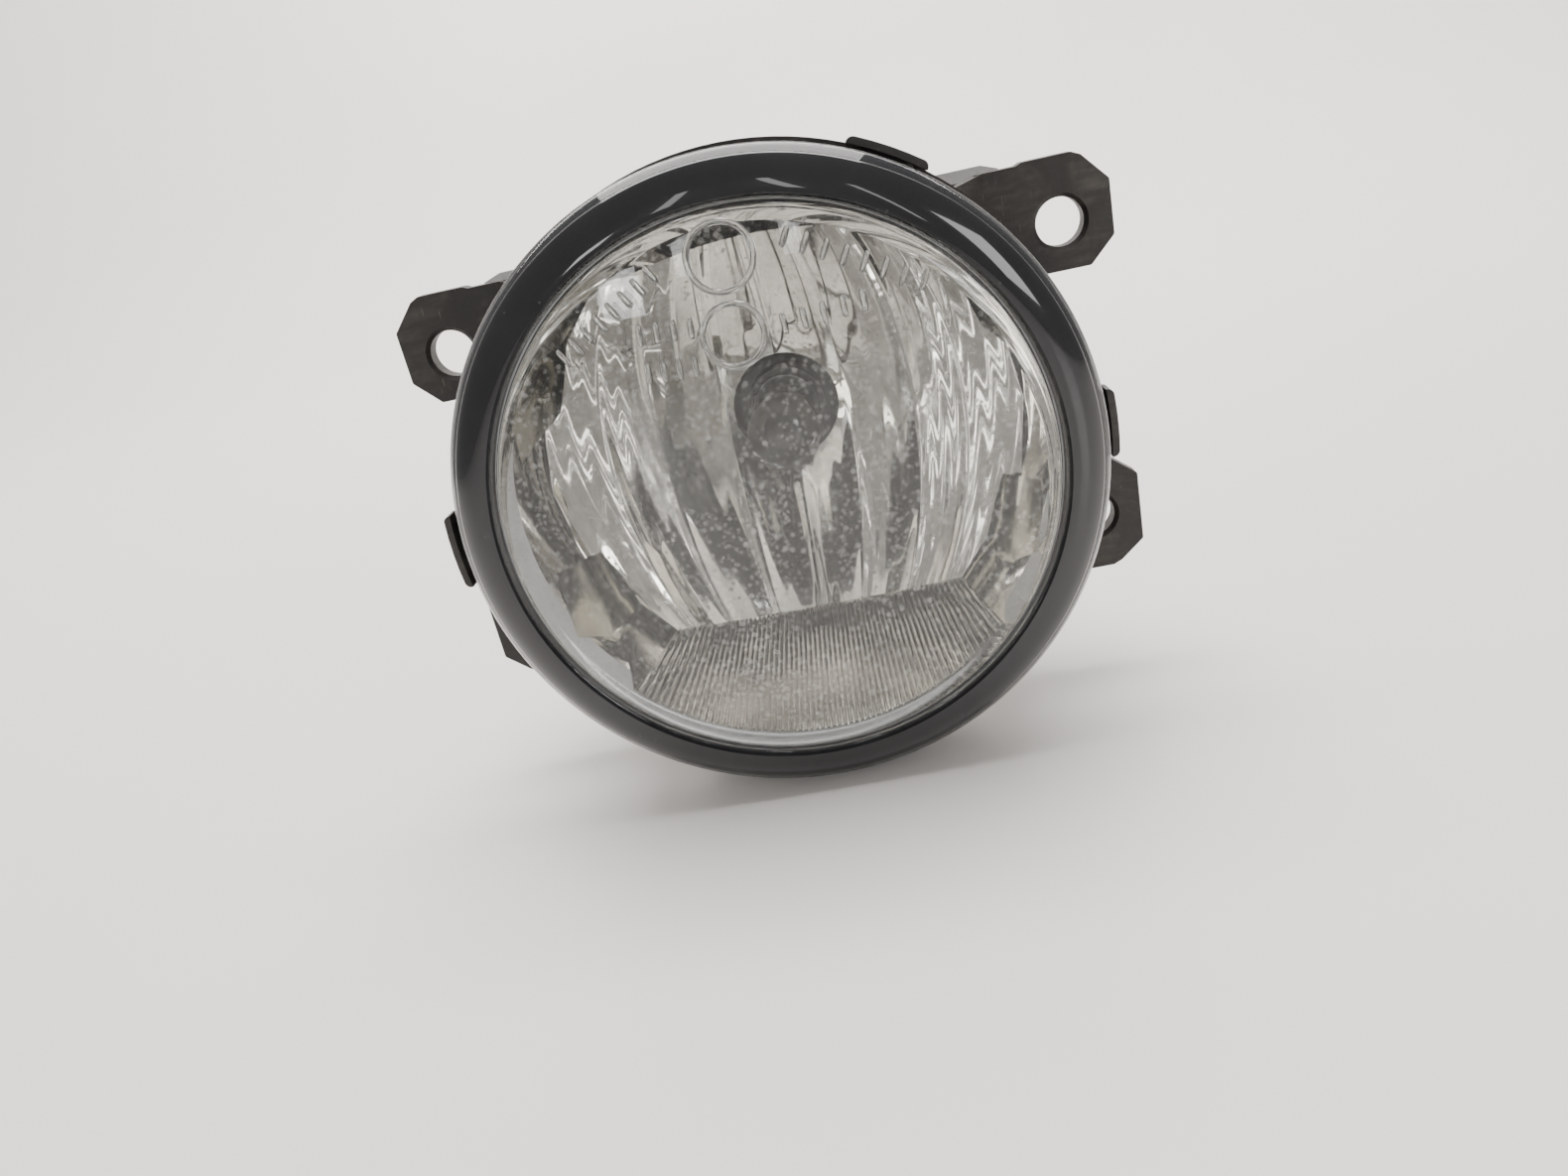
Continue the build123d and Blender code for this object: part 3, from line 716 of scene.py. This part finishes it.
def shelf_rows(side, ribbed):
    """Shelf from the bowl out to the round front edge; side is -1 below, 1 above."""
    steps = 24
    count = RIBS * RIB_STEPS
    rows = []
    for k in range(count + 1):
        s = 2 * k / count - 1
        xb, xf = SHELF_HALF_BACK * s, SHELF_HALF_FRONT * s
        zb = shelf_edge(xb)
        zf = -math.sqrt(WALL_R ** 2 - xf ** 2)
        yb = bowl_depth(xb, zb)
        rib = RIB_RISE * abs(math.sin(math.pi * k / RIB_STEPS)) if ribbed else 0.0
        row = []
        for j in range(steps + 1):
            t = j / steps
            z = zb + (zf - zb) * t + (rib if j else 0.0)
            row.append((xb + (xf - xb) * t, yb + (SHELF_FRONT_Y - yb) * t, -side * z))
        rows.append(row)
    return rows


def corner_facets(patches, side, up):
    """Faceted corner between a shelf and the side wall."""
    p = {
        "apex": (29.5, 29.4, -22.4),
        "shelf_back": (SHELF_HALF_BACK, bowl_depth(SHELF_HALF_BACK, SHELF_SIDE), SHELF_SIDE),
        "shelf_front": (SHELF_HALF_FRONT, SHELF_FRONT_Y, -SHELF_FRONT_Z),
        "wall_low": (30.2, 15.0, -23.4),
        "wall_mid": (31.9, 14.0, -21.0),
        "ridge": (31.6, 30.6, -17.6),
        "wall_tip": (34.2, 5.5, -16.9),
        "wall_high": (35.5, 9.0, -14.0),
        "ridge_high": (33.6, 29.0, -12.0),
        "wall_top": (37.0, 13.0, -9.0),
    }
    p = {key: (side * x, y, up * z) for key, (x, y, z) in p.items()}
    flip = side * up < 0
    chains = (
        ("shelf_back", "shelf_front", "apex"),
        ("shelf_front", "wall_low", "apex"),
        ("apex", "wall_low", "wall_mid"),
        ("apex", "wall_mid", "ridge"),
        ("ridge", "wall_mid", "wall_tip"),
        ("ridge", "wall_tip", "wall_high"),
        ("ridge", "wall_high", "ridge_high"),
        ("ridge_high", "wall_high", "wall_top"),
    )
    for chain in chains:
        patches.facet(*[p[key] for key in chain], flip=flip)


def side_wall_rows(side):
    """Round wall between the two shelves."""
    corner = math.asin(SHELF_FRONT_Z / WALL_R)
    count, steps = 120, 16
    rows = []
    for k in range(count + 1):
        angle = corner * (1 - 2 * k / count)
        x, z = side * WALL_R * math.cos(angle), WALL_R * math.sin(angle)
        back = bowl_depth(x, z) + 0.4
        front = LEDGE_Y + 5.5
        rows.append([(x, front + (back - front) * j / steps, z) for j in range(steps + 1)])
    return rows


def build_reflector():
    """Fluted bowl with its walls, the two shelves, the corners and the edge."""
    bowl, shelves, corners = Patches(), Patches(), Patches()
    bowl.grid(bowl_rows())
    bowl.open_hole(HOLE_R)
    shelves.grid(shelf_rows(-1, True))
    shelves.grid(shelf_rows(1, False), flip=True)
    for side in (-1, 1):
        bowl.grid(side_wall_rows(side), flip=side < 0)
        for up in (-1, 1):
            corner_facets(corners, side, up)
    bright = mirror("metallised_mirror", (0.70, 0.68, 0.65), (0.92, 0.90, 0.86))
    hazed = mirror("hazed_shelf_mirror", (0.52, 0.51, 0.49), (0.76, 0.75, 0.72), 0.2)
    parts = (
        ("reflector_mirror", bowl, bright),
        ("reflector_shelves", shelves, hazed),
        ("reflector_corners", corners, facet_metal()),
    )
    for name, patch, finish in parts:
        piece = mesh_object(name, patch.points, patch.faces, finish, "lamp", 30)
        if patch is bowl:
            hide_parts("reflector")
    build_reflector_edge()


def build_reflector_edge():
    """Pale satin ring in front of the bowl."""
    front = LEDGE_Y + 0.1
    outer = mirror_high[0]
    corners = [(WALL_R, LEDGE_Y + 5.6), (WALL_R, front), (outer, front), (outer, LEDGE_Y + 6.0)]
    points, faces = lathe(rounded(corners, 0.25), steps=240, closed=False)
    mesh_object("reflector_edge", points, faces, satin_metal(), "lamp", 50)


# --- filament -----------------------------------------------------------------------
def build_filament():
    """Wound tungsten coil inside its CAD envelope."""
    low, high = box_mm("filament")
    wire = 0.16
    radius = high[0] - wire
    length = high[1] - low[1] - 2 * wire
    turns, per_turn, around = 11, 20, 6
    count = turns * per_turn
    points, faces = [], []
    for k in range(count + 1):
        angle = 2 * math.pi * k / per_turn
        depth = low[1] + wire + length * k / count
        for j in range(around):
            bend = 2 * math.pi * j / around
            r = radius + wire * math.cos(bend)
            points.append((r * math.cos(angle), depth + wire * math.sin(bend), r * math.sin(angle)))
    for k in range(count):
        for j in range(around):
            a, b = k * around + j, k * around + (j + 1) % around
            faces.append((a, b, b + around, a + around))
    faces.append(tuple(range(around))[::-1])
    faces.append(tuple(range(len(points) - around, len(points))))
    coil = mesh_object("filament_coil", points, faces, CAD_FINISH["filament"], "bulb")
    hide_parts("filament")


# --- finishes on the CAD nodes ------------------------------------------------------
frame_black = moulded_black("frame_plastic_black", (0.014, 0.012, 0.011), (0.115, 0.103, 0.092), 0.55)
body_black = moulded_black("body_plastic_black", (0.014, 0.0135, 0.013), (0.09, 0.086, 0.08), 0.35)
base_black = moulded_black("base_plastic_black", (0.017, 0.017, 0.017), (0.07, 0.07, 0.068), 0.2, 2100.0)
seal_black = rubber()
steel = metal("zinc_plated_steel", (0.42, 0.41, 0.40), (0.66, 0.66, 0.66))
tungsten = metal("tungsten_wire", (0.16, 0.155, 0.15), (0.30, 0.29, 0.28), rough=(0.35, 0.55))
tinned = metal("tinned_brass", (0.52, 0.49, 0.42), (0.74, 0.71, 0.63))
gloss = gloss_black("gloss_black_enamel")
CAD_FINISH = {
    "lens_seal": adhesive(),
    "lamp_body": body_black,
    "vent_membrane": membrane(),
    "vent_cap": seal_black,
    "bulb_glass": quartz(),
    "bulb_tip_coating": gloss_black("bulb_tip_black", (0.014, 0.013, 0.013)),
    "filament": tungsten,
    "filament_supports": tungsten,
    "bulb_foils": steel,
    "bulb_clip_ring": metal("blackened_steel", (0.05, 0.05, 0.05), (0.10, 0.10, 0.10), rough=(0.45, 0.6)),
    "bulb_o_ring": seal_black,
    "bulb_terminals": tinned,
    "bulb_leads": steel,
    "bulb_base": base_black,
    "mounting_frame": frame_black,
    "adjuster_screw": steel,
    "adjuster_clip": steel,
    "adjuster_nut": nylon(),
}


def finish_cad_nodes():
    """Detailed materials on the CAD nodes that stay as they are."""
    for node, material in CAD_FINISH.items():
        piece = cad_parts[node]
        piece.data.materials.clear()
        piece.data.materials.append(material)


# --- stage, light and camera --------------------------------------------------------
WARM_WHITE = (1.0, 0.985, 0.96)


def build_floor():
    """Pale sheet under the lamp that curves up behind it."""
    level = cad_low[2] / MM
    half, front, back, rise, top = 2500.0, -2500.0, 600.0, 500.0, 2600.0
    edge = [(front + (back - front) * k / 8, level) for k in range(9)]
    for k in range(1, 17):
        angle = math.pi / 2 * k / 16
        edge.append((back + rise * math.sin(angle), level + rise * (1 - math.cos(angle))))
    edge.append((back + rise, top))
    patch = Patches()
    patch.grid([[(x, y, z) for x in (-half, half)] for y, z in edge])
    floor = mesh_object("floor", patch.points, patch.faces, floor_material(), None)


def area_light(name, place, aim, size, power, colour=(1, 1, 1)):
    data = bpy.data.lights.new(name, "AREA")
    data.shape = "RECTANGLE"
    data.size, data.size_y = size
    data.energy = power
    data.color = colour
    light = bpy.data.objects.new(name, data)
    bpy.context.scene.collection.objects.link(light)
    light.location = place
    direction = Vector(aim) - Vector(place)
    light.rotation_euler = direction.to_track_quat("-Z", "Y").to_euler()


def build_lights():
    """A soft light overhead, panels for the glass's highlights, strips for the flutes."""
    area_light("soft_top", (0.0, 0.25, 1.5), (0, 0.1, 0), (1.6, 0.9), 42.0, WARM_WHITE)
    area_light("panel_left", (-0.47, -1.51, 0.25), (0, 0, 0), (0.13, 0.12), 0.5)
    area_light("panel_right", (1.02, -1.14, 0.45), (0, 0, 0), (0.5, 0.5), 6.0)
    for name, x in (("strip_left", -0.26), ("strip_middle", 0.06), ("strip_right", 0.44)):
        area_light(name, (x, -1.5, 0.52), (0, 0, 0), (0.05, 0.5), 0.4)
    area_light("backdrop_wash", (0.0, 0.35, 0.9), (0.0, 1.1, 0.35), (1.8, 0.4), 16.0, WARM_WHITE)


def build_world():
    """A room, dim in front and pale towards the back."""
    world = bpy.data.worlds.new("studio")
    bpy.context.scene.world = world
    world.use_nodes = True
    tree = world.node_tree
    tree.nodes.clear()
    output = tree.nodes.new("ShaderNodeOutputWorld")
    coords = tree.nodes.new("ShaderNodeTexCoord")
    split = tree.nodes.new("ShaderNodeSeparateXYZ")
    tree.links.new(coords.outputs["Generated"], split.inputs[0])
    ramp = tree.nodes.new("ShaderNodeMapRange")
    tree.links.new(split.outputs["Y"], ramp.inputs["Value"])
    ramp.inputs["From Min"].default_value = -0.1
    ramp.inputs["From Max"].default_value = 0.4
    room = tree.nodes.new("ShaderNodeMix")
    room.data_type = "RGBA"
    room.inputs[6].default_value = (0.40, 0.385, 0.37, 1)
    room.inputs[7].default_value = (0.9, 0.89, 0.87, 1)
    tree.links.new(ramp.outputs[0], room.inputs[0])
    background = tree.nodes.new("ShaderNodeBackground")
    tree.links.new(room.outputs[2], background.inputs["Color"])
    tree.links.new(background.outputs[0], output.inputs["Surface"])


def build_camera():
    """Close wide-angle view, from slightly right and above, rolled a little."""
    data = bpy.data.cameras.new("camera")
    data.sensor_width = 36.0
    data.sensor_fit = "HORIZONTAL"
    data.lens = 25.0633
    data.clip_start = 0.01
    data.clip_end = 50.0
    camera = bpy.data.objects.new("camera", data)
    bpy.context.scene.collection.objects.link(camera)
    right = Vector((0.97797, 0.02097, -0.20768)).normalized()
    back = right.cross(Vector((0.18468, 0.37676, 0.90772))).normalized()
    turn = Matrix((right, back.cross(right), back)).transposed().to_4x4()
    camera.matrix_world = Matrix.Translation((0.01292, -0.14329, 0.04291)) @ turn
    bpy.context.scene.camera = camera


build_lens()
build_mask()
build_inner_dust()
build_reflector()
finish_cad_nodes()
build_filament()
build_floor()
build_lights()
build_world()
build_camera()
